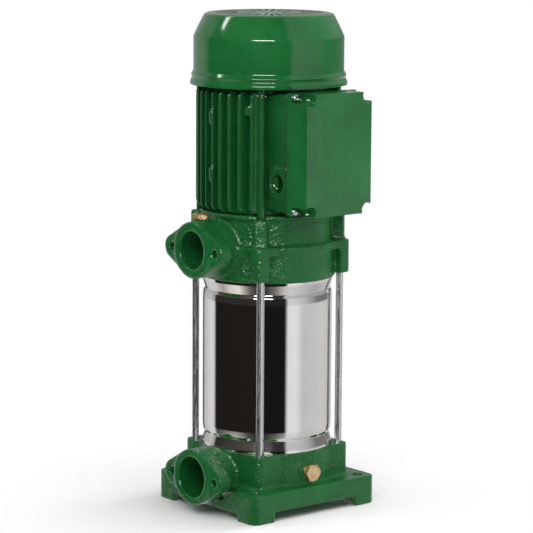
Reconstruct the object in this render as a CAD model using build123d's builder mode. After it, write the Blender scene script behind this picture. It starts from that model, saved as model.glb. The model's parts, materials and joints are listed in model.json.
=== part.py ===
"""Vertical multistage pump with a close-coupled motor, in millimetres.

The origin is on the pump axis at floor level, +Z points up along the shaft.
Both ports face -Y, the terminal box and the drain plug are on the +X side.
"""
import math
import os

from build123d import *

# Small clearances used all over
slip = 0.1
socket_gap = 0.05
thread_gap = 0.05
run_gap = 0.08

# Pump sleeve, which sets the size of the castings and the place of the tie rods
sleeve_r = 72.4
sleeve_wall = 1.5
bead_depth = 2.4
bead_step = 0.6
bead_half = 3.5
bead_from_end = 16.0
flare = 0.6
gasket_t = 1.5
sleeve_in_r = sleeve_r - sleeve_wall
socket_r = sleeve_r + flare + socket_gap
wet_r = sleeve_in_r - 8.9
wall_turn = 2.0
lower_socket = 3.0
upper_socket = 3.5

# Tie rods
rod_r = 4.0
rod_gap = 3.75
rod_thread = 26.0
rod_hole_gap = 0.5
nut_af = 13.0
nut_t = 6.5
washer_r = 8.5
washer_t = 1.6
nut_pocket_r = 9.5
rod_past_nut = 3.0
rod_xy = (sleeve_r + flare + rod_gap + rod_r) / math.sqrt(2)

# Cast base with the suction port
block_r = sleeve_r + 2.6
block_half = rod_xy + 8.9
block_corner = 7.4
plate_top = 32.0
plate_thickness = 8.0
block_height = 37.2
block_foot = 4.0
base_x = 2 * rod_xy + 60.8
base_y = base_x + 1.5
base_corner = 10.0
skirt_wall = 8.0
skirt_gap = 11.0
front_skirt_gap = 8.0
foot_size = 30.0
anchor_x = base_x / 2 - 15.5
anchor_y = base_y / 2 - 15.25
anchor_r = 5.5
chamber_floor = 30.0
plate_under = plate_top - plate_thickness
block_top = plate_top + block_height

# Two-bolt oval ports
suction_z = 41.5
suction_bore_r = 22.5
suction_passage_r = 24.0
discharge_bore_r = 20.5
neck_r = 31.5
neck_reach = 31.3
flange_depth = 15.8
ring_proud = 2.3
ear_r = 13.0
ear_spacing = 75.0
ear_hole_r = 4.25
notch_gap = 1.6
flange_face_y = block_r + neck_reach
flange_back_y = flange_face_y - flange_depth
port_face_y = flange_face_y + ring_proud

# Stages
stage_count = 5
stage_pitch = 34.0
stage_wall = 2.3
stage_r = sleeve_in_r - bead_depth - slip
stage_in_r = stage_r - stage_wall
plate_t = 3.0
step_t = 2.8
eye_r = 26.0
neck_wall = 3.8
impeller_r = stage_in_r - 6.9
shroud_t = 1.6
passage = 6.0
hub_r = 12.5
spacer_r = 13.5
vane_count = 6
vane_sweep = 62.0
return_vane_sweep = 40.0
diffuser_r = stage_in_r - 2.9
diffuser_z = 18.5
diffuser_t = 2.5
hub_low = 2.0
hub_high = 17.0
shroud_low = 4.0
shroud_high = shroud_low + shroud_t + passage
stack_ring_h = 19.5

# Heights of the stack, from the base up
sleeve_bottom = block_top - lower_socket
stage_bottom = sleeve_bottom + step_t + plate_t
stack_top = stage_bottom + stage_count * stage_pitch
sleeve_top = stack_top + stack_ring_h

# Discharge head
head_bottom = sleeve_top - upper_socket
head_r = sleeve_r + 2.6
head_half = rod_xy + 9.4
leg_bottom = head_bottom + 4.6
leg_width = 16.5
band_bottom = head_bottom + 32.0
band_top = band_bottom + 10.0
band_r = sleeve_r + 4.6
lantern_r = sleeve_r - 0.4
lantern_flange_r = lantern_r + 4.0
lantern_flange_t = 5.0
head_top = band_top + 34.0
roof_t = 6.0
chamber_top = head_top - 18.0
dry_r = lantern_r - 12.0
post_width = 14.5
post_xy = rod_xy - 1.6
post_top = head_top - 4.0
discharge_z = head_bottom + 36.9
rod_top = leg_bottom + rod_thread
nut_top = plate_under - washer_t
rod_bottom = nut_top - nut_t - rod_past_nut

# Shaft and shaft seal
shaft_r = 8.0
seat_r = 10.0
rotor_seat_r = 14.0
collar_r = 13.0
collar_t = 5.0
journal_r = 7.5
journal_drop = 12.2
lock_nut_af = 20.0
bush_t = 4.0
bush_length = 11.0
bush_r = journal_r + run_gap
seal_r = 15.0
seal_face_t = 8.0
shoulder_z = head_bottom + 25.0
collar_bottom = shoulder_z + 2.0
journal_bottom = sleeve_bottom - journal_drop

# Motor
frame_r = 68.0
frame_height = 132.0
frame_wall = 8.0
stator_r = frame_r - frame_wall
fin_tip_r = frame_r + 12.4
fin_t = 3.0
fin_pitch = 12.0
fin_side_count = 4
fin_foot_round = 11.0
fin_head_round = 4.5
rib_xy = rod_xy - 3.1
rib_r = 3.9
through_bolt_r = 2.5
bolt_head_r = 4.3
bolt_head_t = 4.0
rotor_r = stator_r - 27.5
air_gap = 0.5
core_height = 72.0
winding_r_in = rotor_r + 3.5
winding_r_out = stator_r - 5.0
winding_h = 14.0
end_ring_h = 6.0
shield_rim_r = dry_r + 2.0
shield_rim_t = 4.0
shield_t = 5.0
frame_top = head_top + frame_height
fin_foot = head_top + 0.3
fin_top = frame_top + 3.8
core_bottom = head_top + 32.0
core_top = core_bottom + core_height
rib_circle_r = rib_xy * math.sqrt(2)
shield_top = frame_top + shield_t

# Ball bearings
bearing_r = 23.5
bearing_w = 14.0
race_wall = 4.3
ball_r = 3.97
ball_circle_r = 16.75
ball_gap = 0.03
ball_count = 7
wave_t = 1.5
lower_bearing_z = head_top + 2.0
lower_bearing_top = lower_bearing_z + bearing_w
upper_bearing_z = frame_top - bearing_w
upper_bearing_top = upper_bearing_z + bearing_w

# Fan and fan cover
cover_wall = 1.2
cover_r = rib_circle_r + 6.8
cover_in_r = cover_r - cover_wall
cover_rim_r = cover_r + 3.2
cover_flat_r = cover_r - 15.7
cover_height = 78.4
cover_bottom = shield_top + 0.9
cover_top = cover_bottom + cover_height
lug_width = 12.0
lug_depth = 6.0
fan_z = shield_top + 25.0
fan_r = cover_in_r - 8.0
fan_hub_r = 14.0
fan_hub_h = 22.0
blade_count = 7
blade_t = 2.0
blade_h = 26.0
shaft_top = fan_z + 19.0
grille_slot = 3.4
grille_rings = [(16.0, 31.0, 16), (36.0, 61.0, 40)]

# Terminal box
box_y = 90.0
box_z = 129.0
box_mid_z = head_top + 69.3
box_back = frame_r - 18.0
box_floor = frame_r - 2.0
box_rim = fin_tip_r + 5.1
box_wall = 3.5
box_corner = 4.0
box_gasket_t = 1.5
lid_y = 92.0
lid_z = 132.0
lid_side = 33.0
lid_bevel = 4.0
face_y = 55.5
face_z = 91.5
lid_skin = 2.5
pad_t = 7.0
screw_inset_y = 5.5
screw_inset_z = 4.7
notch_r = 7.6
screw_r = 2.5
screw_head_r = 3.7
screw_head_t = 3.6
screw_bite = 13.5
entry_x = box_rim - 15.0
entry_z = box_mid_z - 32.8
entry_r = 10.0
entry_boss_x = 27.0
entry_boss_z = 34.0
entry_boss_t = 1.8
lid_rim_x = box_rim + box_gasket_t
lid_edge_x = lid_rim_x + lid_side
lid_face_x = lid_edge_x + lid_bevel
screw_y = lid_y / 2 - screw_inset_y
screw_z = lid_z / 2 - screw_inset_z
screw_seat_x = lid_rim_x + pad_t

# Service plugs
plug_af = 18.0
priming_head_t = 4.4
drain_head_t = 6.6
plug_r = 6.5
plug_shank = 13.0
plug_washer_t = 1.0
plug_washer_r = 9.3
plug_boss_r = 9.5
priming_y = -flange_back_y - 3.5
priming_seat = discharge_z + neck_r + 2.6
drain_z = 46.0
drain_boss_r = 12.5
drain_seat = block_half + 10.0

parts_folder = "parts"
os.makedirs(parts_folder, exist_ok=True)


def write(part, name):
    """Label one finished piece and write it as a STEP file."""
    part.label = name
    export_step(part, os.path.join(parts_folder, name + ".step"))


def corners(x, y):
    """The four corner points of a rectangle centred on the axis."""
    return [(x, -y), (x, y), (-x, y), (-x, -y)]


def square_round_plan(radius, half, corner):
    """Plan of a round body standing on a rounded square."""
    with BuildSketch() as plan:
        Circle(radius)
        RectangleRounded(2 * half, 2 * half, corner)
    return plan.sketch


def oval_plan(height, extra=0.0):
    """Outline of a two-bolt oval flange round a port axis at this height."""
    with BuildSketch() as plan:
        with Locations((0, height)):
            Circle(neck_r + extra)
        with Locations((-ear_spacing / 2, height), (ear_spacing / 2, height)):
            Circle(ear_r + extra)
        make_hull()
    return plan.sketch


def tube(r_out, r_in, bottom, top):
    """A plain ring standing on the axis."""
    with BuildPart() as ring:
        with BuildSketch(Plane.XY.offset(bottom)):
            Circle(r_out)
            Circle(r_in, mode=Mode.SUBTRACT)
        extrude(amount=top - bottom)
    return ring.part


def port(height, bore):
    """Neck, oval flange and raised face of a port, with its bolt holes, ready to join a casting."""
    with BuildPart() as body:
        with BuildSketch(Plane.XZ):
            with Locations((0, height)):
                Circle(neck_r)
        extrude(amount=flange_back_y)
        with BuildSketch(Plane.XZ.offset(flange_back_y)):
            add(oval_plan(height))
        extrude(amount=flange_depth)
        with BuildSketch(Plane.XZ.offset(flange_face_y)):
            with Locations((0, height)):
                Circle(neck_r)
        extrude(amount=ring_proud, taper=8)
        with BuildSketch(Plane.XZ.offset(flange_back_y)):
            with Locations((-ear_spacing / 2, height), (ear_spacing / 2, height)):
                Circle(ear_hole_r)
        extrude(amount=flange_depth, mode=Mode.SUBTRACT)
    return body.part


# Suction body: a hollow cast base on four feet, with a block that takes the sleeve
with BuildPart() as suction_body:
    with BuildSketch(Plane.XY.offset(skirt_gap)):
        RectangleRounded(base_x, base_y, base_corner)
    extrude(amount=plate_top - skirt_gap)
    with BuildSketch(Plane.XY.offset(skirt_gap)):
        RectangleRounded(base_x - 2 * skirt_wall, base_y - 2 * skirt_wall, base_corner / 2)
    extrude(amount=plate_under - skirt_gap, mode=Mode.SUBTRACT)
    with BuildSketch(Plane.XY.offset(front_skirt_gap)):
        with Locations((0, -(base_y - skirt_wall) / 2)):
            Rectangle(base_x - 2 * foot_size, skirt_wall)
    extrude(amount=plate_under - front_skirt_gap)
    with BuildSketch():
        with Locations(corners((base_x - foot_size) / 2, (base_y - foot_size) / 2)):
            Rectangle(foot_size, foot_size)
        RectangleRounded(base_x, base_y, base_corner, mode=Mode.INTERSECT)
    extrude(amount=plate_under)
    with BuildSketch(Plane.XY.offset(plate_under)):
        add(square_round_plan(block_r, block_half, block_corner))
    extrude(amount=block_top - plate_under)
    # sloping foot where the block meets the plate
    with BuildSketch(Plane.XY.offset(plate_top)):
        RectangleRounded(2 * block_half + block_foot, 2 * block_half + block_foot, block_corner + block_foot)
    extrude(amount=block_foot, taper=45 / 2)
    # the rhombic flange outline is cleared out of the front skirt
    with BuildSketch(Plane.XZ.offset(block_r)):
        add(oval_plan(suction_z, notch_gap))
    extrude(amount=base_y, mode=Mode.SUBTRACT)
    add(port(suction_z, suction_bore_r))
    with Locations((0, 0, suction_z)):
        Sphere(neck_r)
    # boss for the drain plug
    with BuildSketch(Plane.YZ.offset(wet_r)):
        with Locations((0, drain_z)):
            Circle(drain_boss_r)
    extrude(amount=drain_seat - wet_r)
    # suction chamber, port bore and sleeve socket; the neck's crown stays outside the sleeve
    with BuildSketch(Plane.XY.offset(chamber_floor)):
        Circle(wet_r)
    extrude(amount=block_top - chamber_floor, mode=Mode.SUBTRACT)
    with BuildSketch(Plane.XY.offset(block_top)):
        Circle(block_r)
    extrude(amount=neck_r, mode=Mode.SUBTRACT)
    with BuildSketch(Plane.XZ.offset(wet_r - wall_turn)):
        with Locations((0, suction_z)):
            Circle(suction_bore_r)
    extrude(amount=port_face_y - wet_r + wall_turn, mode=Mode.SUBTRACT)
    with BuildSketch(Plane.XZ):
        with Locations((0, suction_z)):
            Circle(suction_passage_r)
    extrude(amount=wet_r - wall_turn, mode=Mode.SUBTRACT)
    with Locations((0, 0, suction_z)):
        Sphere(suction_passage_r, mode=Mode.SUBTRACT)
    with BuildSketch(Plane.XY.offset(sleeve_bottom)):
        Circle(socket_r)
    extrude(amount=block_top - sleeve_bottom, mode=Mode.SUBTRACT)
    with BuildSketch(Plane.XY.offset(sleeve_bottom - gasket_t)):
        Circle(socket_r)
        Circle(sleeve_in_r, mode=Mode.SUBTRACT)
    extrude(amount=gasket_t, mode=Mode.SUBTRACT)
    with BuildSketch(Plane.YZ.offset(wet_r - drain_boss_r)):
        with Locations((0, drain_z)):
            Circle(plug_r + thread_gap)
    extrude(amount=drain_seat, mode=Mode.SUBTRACT)
    # anchor holes, tie rod holes and the pockets for their nuts
    with BuildSketch():
        with Locations(corners(anchor_x, anchor_y)):
            Circle(anchor_r)
    extrude(amount=plate_top, mode=Mode.SUBTRACT)
    with BuildSketch():
        with Locations(corners(rod_xy, rod_xy)):
            Circle(rod_r + rod_hole_gap)
    extrude(amount=block_top, mode=Mode.SUBTRACT)
    with BuildSketch():
        with Locations(corners(rod_xy, rod_xy)):
            Circle(nut_pocket_r)
    extrude(amount=plate_under, mode=Mode.SUBTRACT)
write(suction_body.part, "suction_body")

# Drawn stainless sleeve with a rolled bead near each end
with BuildPart() as pump_sleeve:
    bead_low = sleeve_bottom + bead_from_end
    bead_high = sleeve_top - bead_from_end
    with BuildSketch(Plane.XZ):
        with BuildLine():
            outer = [
                (sleeve_r + flare, sleeve_bottom),
                (sleeve_r + flare, bead_low - 3 * bead_half),
                (sleeve_r - bead_depth, bead_low),
                (sleeve_r - bead_step, bead_low + bead_half),
                (sleeve_r, bead_low + 3 * bead_half),
                (sleeve_r, bead_high - 3 * bead_half),
                (sleeve_r - bead_step, bead_high - bead_half),
                (sleeve_r - bead_depth, bead_high),
                (sleeve_r + flare, bead_high + 3 * bead_half),
                (sleeve_r + flare, sleeve_top),
            ]
            inner = [(r - sleeve_wall, z) for r, z in reversed(outer)]
            Polyline(*outer, *inner, close=True)
        make_face()
    revolve(axis=Axis.Z)
write(pump_sleeve.part, "pump_sleeve")

write(tube(socket_r - socket_gap, sleeve_in_r + socket_gap, sleeve_bottom - gasket_t, sleeve_bottom),
      "lower_sleeve_gasket")
write(tube(socket_r - socket_gap, sleeve_in_r + socket_gap, sleeve_top, sleeve_top + gasket_t),
      "upper_sleeve_gasket")

# Discharge head: sleeve socket, port, square rod flange and motor lantern in one casting
with BuildPart() as discharge_head:
    with BuildSketch(Plane.XY.offset(head_bottom)):
        Circle(head_r)
    extrude(amount=band_bottom - head_bottom)
    with BuildSketch(Plane.XY.offset(leg_bottom)):
        leg_mid = head_half - leg_width / 2
        with Locations(corners(leg_mid, leg_mid)):
            Rectangle(leg_width, leg_width)
        RectangleRounded(2 * head_half, 2 * head_half, block_corner, mode=Mode.INTERSECT)
    extrude(amount=band_bottom - leg_bottom)
    with BuildSketch(Plane.XY.offset(band_bottom)):
        add(square_round_plan(band_r, head_half, block_corner))
    extrude(amount=band_top - band_bottom)
    with BuildSketch(Plane.XY.offset(band_top)):
        Circle(lantern_r)
    extrude(amount=head_top - band_top)
    with BuildSketch(Plane.XY.offset(head_top - lantern_flange_t)):
        Circle(lantern_flange_r)
    extrude(amount=lantern_flange_t)
    with BuildSketch(Plane.XY.offset(band_top)):
        with Locations(corners(post_xy, post_xy)):
            RectangleRounded(post_width, post_width, 1.5, rotation=45)
    extrude(amount=post_top - band_top)
    # the frame's corner ribs reach down to the posts, so the rim is cleared there
    with BuildSketch(Plane.XY.offset(post_top)):
        with Locations(corners(rib_xy, rib_xy)):
            Circle(rib_r + 1)
    extrude(amount=head_top - post_top, mode=Mode.SUBTRACT)
    add(port(discharge_z, discharge_bore_r))
    with BuildSketch(Plane.XY.offset(discharge_z)):
        with Locations((0, priming_y)):
            Circle(plug_boss_r)
    extrude(amount=priming_seat - discharge_z)
    # discharge chamber, port bore, sleeve socket and the dry space round the shaft
    with BuildSketch(Plane.XY.offset(head_bottom)):
        Circle(wet_r)
    extrude(amount=chamber_top - head_bottom, mode=Mode.SUBTRACT)
    with BuildSketch(Plane.XZ):
        with Locations((0, discharge_z)):
            Circle(discharge_bore_r)
    extrude(amount=port_face_y, mode=Mode.SUBTRACT)
    with BuildSketch(Plane.XY.offset(head_bottom)):
        Circle(socket_r)
    extrude(amount=sleeve_top - head_bottom, mode=Mode.SUBTRACT)
    with BuildSketch(Plane.XY.offset(sleeve_top)):
        Circle(socket_r)
        Circle(sleeve_in_r, mode=Mode.SUBTRACT)
    extrude(amount=gasket_t, mode=Mode.SUBTRACT)
    with BuildSketch(Plane.XY.offset(chamber_top)):
        Circle(seal_r)
    extrude(amount=roof_t, mode=Mode.SUBTRACT)
    with BuildSketch(Plane.XY.offset(chamber_top + roof_t)):
        Circle(dry_r)
    extrude(amount=head_top - chamber_top - roof_t, mode=Mode.SUBTRACT)
    with BuildSketch(Plane.XY.offset(head_top - shield_rim_t)):
        Circle(shield_rim_r)
    extrude(amount=shield_rim_t, mode=Mode.SUBTRACT)
    # threads for the priming plug, the tie rods and the motor bolts
    with BuildSketch(Plane.XY.offset(discharge_z)):
        with Locations((0, priming_y)):
            Circle(plug_r + thread_gap)
    extrude(amount=priming_seat - discharge_z, mode=Mode.SUBTRACT)
    with BuildSketch(Plane.XY.offset(leg_bottom)):
        with Locations(corners(rod_xy, rod_xy)):
            Circle(rod_r + thread_gap)
    extrude(amount=rod_thread, mode=Mode.SUBTRACT)
    with BuildSketch(Plane.XY.offset(band_top)):
        with Locations(corners(rib_xy, rib_xy)):
            Circle(through_bolt_r + thread_gap)
    extrude(amount=post_top - band_top, mode=Mode.SUBTRACT)
write(discharge_head.part, "discharge_head")

# Tie rods, one at each corner, with a washer and nut under the base plate
for number, (x, y) in enumerate(corners(rod_xy, rod_xy), start=1):
    with BuildPart() as tie_rod:
        with BuildSketch(Plane.XY.offset(rod_bottom)):
            with Locations((x, y)):
                Circle(rod_r)
        extrude(amount=rod_top - rod_bottom)
    write(tie_rod.part, "tie_rod_%d" % number)

with BuildPart() as tie_rod_nuts:
    with BuildSketch(Plane.XY.offset(nut_top - nut_t)):
        with Locations(corners(rod_xy, rod_xy)):
            RegularPolygon(nut_af / 2, 6, major_radius=False)
            Circle(rod_r, mode=Mode.SUBTRACT)
    extrude(amount=nut_t)
write(tie_rod_nuts.part, "tie_rod_nuts")

with BuildPart() as tie_rod_washers:
    with BuildSketch(Plane.XY.offset(nut_top)):
        with Locations(corners(rod_xy, rod_xy)):
            Circle(washer_r)
            Circle(rod_r + rod_hole_gap, mode=Mode.SUBTRACT)
    extrude(amount=washer_t)
write(tie_rod_washers.part, "tie_rod_washers")

# Inlet spider: first eye ring, with three arms that hold the bottom bush
spider_low = journal_bottom + 4
with BuildPart() as inlet_spider:
    with BuildSketch(Plane.XY.offset(stage_bottom - plate_t)):
        Circle(sleeve_in_r - slip)
        Circle(eye_r, mode=Mode.SUBTRACT)
    extrude(amount=plate_t)
    with BuildSketch(Plane.XY.offset(sleeve_bottom)):
        Circle(sleeve_in_r - slip)
        Circle(wet_r + 2, mode=Mode.SUBTRACT)
    extrude(amount=stage_bottom - plate_t - sleeve_bottom)
    with BuildSketch(Plane.XY.offset(spider_low)):
        Circle(bush_r + 2 * bush_t)
    extrude(amount=bush_length)
    with BuildSketch(Plane.XY.offset(spider_low)):
        with PolarLocations(wet_r / 4 + eye_r / 2, 3):
            Rectangle(wet_r / 2, 5)
    extrude(amount=stage_bottom - plate_t - spider_low)
    with BuildSketch(Plane.XY.offset(spider_low)):
        Circle(bush_r + bush_t)
    extrude(amount=stage_bottom - spider_low, mode=Mode.SUBTRACT)
write(inlet_spider.part, "inlet_spider")

write(tube(bush_r + bush_t, bush_r, spider_low, spider_low + bush_length), "bottom_bush")


def vane_plan(r_in, r_out, sweep, thickness):
    """One curved vane between two radii, as the strip between two arcs."""
    turn = math.degrees(thickness / ((r_in + r_out) / 2))
    with BuildSketch() as plan:
        with BuildLine():
            front = [Vector(r_in, 0), Vector((r_in + r_out) / 2, 0), Vector(r_out, 0)]
            angles = [0.0, sweep * 0.42, sweep]
            near = [p.rotate(Axis.Z, a) for p, a in zip(front, angles)]
            far = [p.rotate(Axis.Z, a + turn) for p, a in zip(front, angles)]
            ThreePointArc(*near)
            Line(near[2], far[2])
            ThreePointArc(*reversed(far))
            Line(far[0], near[0])
        make_face()
    return plan.sketch


def impeller(z0):
    """Closed impeller: eye ring, two shrouds, curved vanes and hub."""
    with BuildPart() as wheel:
        with BuildSketch(Plane.XY.offset(z0 + shroud_low)):
            Circle(impeller_r)
            Circle(eye_r - neck_wall, mode=Mode.SUBTRACT)
        extrude(amount=shroud_t)
        with BuildSketch(Plane.XY.offset(z0 - plate_t)):
            Circle(eye_r - run_gap)
            Circle(eye_r - neck_wall, mode=Mode.SUBTRACT)
        extrude(amount=plate_t + shroud_low)
        with BuildSketch(Plane.XY.offset(z0 + shroud_high)):
            Circle(impeller_r)
        extrude(amount=shroud_t)
        with BuildSketch(Plane.XY.offset(z0 + hub_low)):
            Circle(hub_r)
        extrude(amount=hub_high - hub_low)
        with BuildSketch(Plane.XY.offset(z0 + shroud_low + shroud_t)):
            blade = vane_plan(eye_r - neck_wall + 1, impeller_r - 0.5, -vane_sweep, shroud_t)
            with PolarLocations(0, vane_count):
                add(blade)
        extrude(amount=passage)
        with BuildSketch(Plane.XY.offset(z0 + hub_low)):
            Circle(shaft_r)
        extrude(amount=hub_high - hub_low, mode=Mode.SUBTRACT)
    return wheel.part


def stage_casing(z0):
    """Stage bowl: outer wall, diffuser disc, return vanes and the next eye plate."""
    with BuildPart() as bowl:
        with BuildSketch(Plane.XY.offset(z0)):
            Circle(stage_r)
            Circle(stage_in_r, mode=Mode.SUBTRACT)
        extrude(amount=stage_pitch)
        with BuildSketch(Plane.XY.offset(z0 + diffuser_z)):
            Circle(diffuser_r)
            Circle(spacer_r + run_gap, mode=Mode.SUBTRACT)
        extrude(amount=diffuser_t)
        with BuildSketch(Plane.XY.offset(z0 + diffuser_z + diffuser_t)):
            blade = vane_plan(eye_r + 1, stage_in_r + stage_wall / 3, return_vane_sweep, stage_wall)
            with PolarLocations(0, vane_count - 1):
                add(blade)
        extrude(amount=stage_pitch - plate_t - diffuser_z - diffuser_t)
        with BuildSketch(Plane.XY.offset(z0 + stage_pitch - plate_t)):
            Circle(stage_r)
            Circle(eye_r, mode=Mode.SUBTRACT)
        extrude(amount=plate_t)
    return bowl.part


for stage in range(stage_count):
    floor = stage_bottom + stage * stage_pitch
    write(stage_casing(floor), "stage_casing_%d" % (stage + 1))
    write(impeller(floor), "impeller_%d" % (stage + 1))

# Spacer sleeves between the impellers, the last one up to the shaft shoulder
with BuildPart() as impeller_spacers:
    for stage in range(stage_count):
        low = stage_bottom + stage * stage_pitch + hub_high
        high = low + stage_pitch - hub_high + hub_low
        if stage == stage_count - 1:
            high = shoulder_z
        with BuildSketch(Plane.XY.offset(low)):
            Circle(spacer_r)
            Circle(shaft_r, mode=Mode.SUBTRACT)
        extrude(amount=high - low)
write(impeller_spacers.part, "impeller_spacers")

# Lock nut under the first impeller
lock_nut_top = stage_bottom + hub_low
lock_nut_bottom = spider_low + bush_length + 1
with BuildPart() as impeller_nut:
    with BuildSketch(Plane.XY.offset(lock_nut_bottom)):
        RegularPolygon(lock_nut_af / 2, 6, major_radius=False)
        Circle(shaft_r, mode=Mode.SUBTRACT)
    extrude(amount=lock_nut_top - lock_nut_bottom)
write(impeller_nut.part, "impeller_nut")

# Ring that holds the stack down under the head
write(tube(stage_r, stage_r - 2 * stage_wall, stack_top, sleeve_top), "stack_ring")

# Mechanical shaft seal: fixed seat, turning face and bellows
write(tube(seal_r, seat_r + 1, chamber_top, chamber_top + roof_t), "seal_seat")
write(tube(seal_r - 1, seat_r, chamber_top - seal_face_t, chamber_top), "seal_face")
with BuildPart() as seal_bellows:
    fold_low = collar_bottom + collar_t
    fold_high = chamber_top - seal_face_t
    folds = 4
    step = (fold_high - fold_low) / (2 * folds)
    with BuildSketch(Plane.XZ):
        with BuildLine():
            outside = [(collar_r - (n % 2), fold_low + n * step) for n in range(2 * folds + 1)]
            Polyline((seat_r, fold_low), *outside, (seat_r, fold_high), close=True)
        make_face()
    revolve(axis=Axis.Z)
write(seal_bellows.part, "seal_bellows")

# Shaft, one piece from the bottom bush to the fan
with BuildPart() as shaft:
    with BuildSketch(Plane.XZ):
        with BuildLine():
            Polyline(
                (0, journal_bottom),
                (journal_r, journal_bottom),
                (journal_r, lock_nut_bottom),
                (shaft_r, lock_nut_bottom),
                (shaft_r, shoulder_z),
                (seat_r, shoulder_z),
                (seat_r, collar_bottom),
                (collar_r, collar_bottom),
                (collar_r, collar_bottom + collar_t),
                (seat_r, collar_bottom + collar_t),
                (seat_r, lower_bearing_top),
                (rotor_seat_r, lower_bearing_top),
                (rotor_seat_r, upper_bearing_z),
                (seat_r, upper_bearing_z),
                (seat_r, upper_bearing_top),
                (shaft_r, upper_bearing_top),
                (shaft_r, shaft_top),
                (0, shaft_top),
                close=True,
            )
        make_face()
    revolve(axis=Axis.Z)
write(shaft.part, "shaft")

# Motor rotor, stator and windings
with BuildPart() as rotor_core:
    with BuildSketch(Plane.XY.offset(core_bottom)):
        Circle(rotor_r)
        Circle(rotor_seat_r, mode=Mode.SUBTRACT)
    extrude(amount=core_top - core_bottom)
    with BuildSketch(Plane.XY.offset(core_bottom - end_ring_h)):
        Circle(rotor_r - 1.5)
        Circle(rotor_r - 9, mode=Mode.SUBTRACT)
    extrude(amount=core_top - core_bottom + 2 * end_ring_h)
write(rotor_core.part, "rotor_core")
write(tube(stator_r, rotor_r + air_gap, core_bottom, core_top), "stator_core")
with BuildPart() as windings:
    for low in (core_bottom - winding_h, core_top):
        with BuildSketch(Plane.XY.offset(low)):
            Circle(winding_r_out)
            Circle(winding_r_in, mode=Mode.SUBTRACT)
        extrude(amount=winding_h)
write(windings.part, "windings")

def shield_plan(grow=0.0):
    """Plan of the upper end shield: a disc with an ear over each corner rib, grown by a clearance."""
    with BuildSketch() as plan:
        Circle(frame_r + grow)
        with Locations(corners(rib_xy, rib_xy)):
            Circle(rib_r + grow)
        with PolarLocations((stator_r + rib_circle_r) / 2, 4, start_angle=45):
            Rectangle(rib_circle_r - stator_r, rib_r + 2 * grow)
    return plan.sketch


# Motor frame: round body, straight cooling fins on three sides, corner ribs and the terminal box base
fin_reach = [fin_pitch * n for n in range(-fin_side_count, fin_side_count + 1)]
with BuildPart() as fin_envelope:
    with BuildSketch(Plane.XZ):
        with BuildLine():
            Line((0, fin_foot), (fin_tip_r - fin_foot_round, fin_foot))
            foot_arc = RadiusArc(
                (fin_tip_r - fin_foot_round, fin_foot),
                (fin_tip_r, fin_foot + fin_foot_round),
                -fin_foot_round,
            )
            Line((fin_tip_r, fin_foot + fin_foot_round), (fin_tip_r, fin_top - fin_head_round))
            Line((fin_tip_r, fin_top - fin_head_round), (fin_tip_r - fin_head_round, fin_top))
            Line((fin_tip_r - fin_head_round, fin_top), (0, fin_top))
            Line((0, fin_top), (0, fin_foot))
        make_face()
    revolve(axis=Axis.Z)

with BuildPart() as motor_frame:
    with BuildSketch(Plane.XY.offset(fin_foot)):
        with Locations([(x, 0) for x in fin_reach]):
            Rectangle(fin_t, 2 * fin_tip_r + 2)
        with Locations([(-fin_tip_r / 2 - 10, y) for y in fin_reach]):
            Rectangle(fin_tip_r, fin_t)
    extrude(amount=fin_top - fin_foot)
    add(fin_envelope.part, mode=Mode.INTERSECT)
    with BuildSketch(Plane.XY.offset(head_top)):
        Circle(frame_r)
    extrude(amount=frame_top - head_top)
    # corner ribs for the long motor bolts, with webs to the body
    with BuildSketch(Plane.XY.offset(post_top)):
        with Locations(corners(rib_xy, rib_xy)):
            Circle(rib_r)
    extrude(amount=frame_top - post_top)
    with BuildSketch(Plane.XY.offset(head_top)):
        with PolarLocations((stator_r + rib_circle_r) / 2, 4, start_angle=45):
            Rectangle(rib_circle_r - stator_r, rib_r)
    extrude(amount=frame_top - head_top)
    # terminal box base, open towards +X, with four screw bosses
    with BuildSketch(Plane.YZ.offset(box_back)):
        with Locations((0, box_mid_z)):
            RectangleRounded(box_y, box_z, box_corner)
    extrude(amount=box_rim - box_back)
    with BuildSketch(Plane.YZ.offset(box_floor)):
        with Locations((0, box_mid_z)):
            RectangleRounded(box_y - 2 * box_wall, box_z - 2 * box_wall, box_corner / 2)
    extrude(amount=box_rim - box_floor, mode=Mode.SUBTRACT)
    with BuildSketch(Plane.YZ.offset(box_floor)):
        with Locations((0, box_mid_z)):
            with Locations(corners(screw_y, screw_z)):
                Circle(2 * screw_r)
            RectangleRounded(box_y, box_z, box_corner, mode=Mode.INTERSECT)
    extrude(amount=box_rim - box_floor)
    with BuildSketch(Plane.YZ.offset(box_floor)):
        with Locations((0, box_mid_z)):
            with Locations(corners(screw_y, screw_z)):
                Circle(screw_r + thread_gap)
    extrude(amount=box_rim - box_floor, mode=Mode.SUBTRACT)
    # square boss with the cable entry
    with BuildSketch(Plane.XZ.offset(box_y / 2 - box_wall)):
        with Locations((entry_x, entry_z)):
            Rectangle(entry_boss_x, entry_boss_z)
    extrude(amount=box_wall + entry_boss_t)
    with BuildSketch(Plane.XZ.offset(box_y / 2 - box_wall)):
        with Locations((entry_x, entry_z)):
            Circle(entry_r)
    extrude(amount=box_wall + entry_boss_t, mode=Mode.SUBTRACT)
    # stator bore, room for the upper end shield and holes for the motor bolts
    with BuildSketch(Plane.XY.offset(head_top)):
        Circle(stator_r)
    extrude(amount=frame_top - head_top, mode=Mode.SUBTRACT)
    with BuildSketch(Plane.XY.offset(frame_top)):
        add(shield_plan(slip))
    extrude(amount=shield_t, mode=Mode.SUBTRACT)
    with BuildSketch(Plane.XY.offset(post_top)):
        with Locations(corners(rib_xy, rib_xy)):
            Circle(through_bolt_r + thread_gap)
    extrude(amount=frame_top - post_top, mode=Mode.SUBTRACT)
write(motor_frame.part, "motor_frame")

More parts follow.
